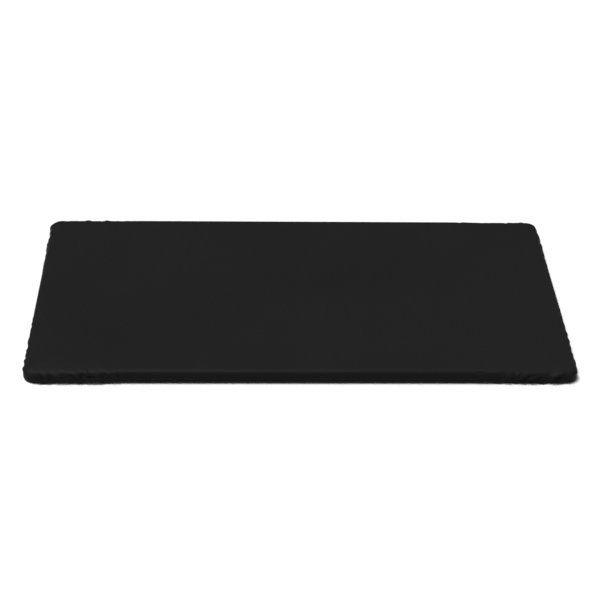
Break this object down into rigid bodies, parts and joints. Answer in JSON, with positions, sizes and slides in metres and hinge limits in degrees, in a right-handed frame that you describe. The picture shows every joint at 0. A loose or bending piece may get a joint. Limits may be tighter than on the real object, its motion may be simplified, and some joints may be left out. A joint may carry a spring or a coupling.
{
  "type": "wall punch pad",
  "caption": "Flat rectangular striking pad for a wall: plywood board, firm and soft foam layers, and a stapled black vinyl cover with pleated corners, on flush keyhole hangers.",
  "frame": {"origin": "middle of the back plane, which is the outer face of the cover's hem", "axes": "+X along the pad's length, up when it hangs; +Y across its width; +Z out of the striking face"},
  "size_m": [1.22, 0.61, 0.031],
  "materials": {
    "vinyl": "matte black vinyl, very fine grain",
    "soft_foam": "open-cell foam, pale grey",
    "firm_foam": "closed-cell foam, charcoal",
    "plywood": "sanded softwood plywood, unvarnished",
    "zinc_plate": "zinc-plated pressed steel",
    "screw_steel": "zinc-plated, satin",
    "staple_wire": "galvanised wire"
  },
  "bodies": {
    "root": {"backing_board": "plywood", "base_foam": "firm_foam", "strike_foam": "soft_foam", "cover": "vinyl", "hanger_upper_front": "zinc_plate", "hanger_upper_rear": "zinc_plate", "hanger_lower_front": "zinc_plate", "hanger_lower_rear": "zinc_plate", "screws_upper_front": "screw_steel", "screws_upper_rear": "screw_steel", "screws_lower_front": "screw_steel", "screws_lower_rear": "screw_steel", "staples_front_hem": "staple_wire", "staples_rear_hem": "staple_wire", "staples_right_hem": "staple_wire", "staples_left_hem": "staple_wire", "staples_front_left_pleat": "staple_wire", "staples_front_right_pleat": "staple_wire", "staples_rear_left_pleat": "staple_wire", "staples_rear_right_pleat": "staple_wire"}
  },
  "joints": []
}
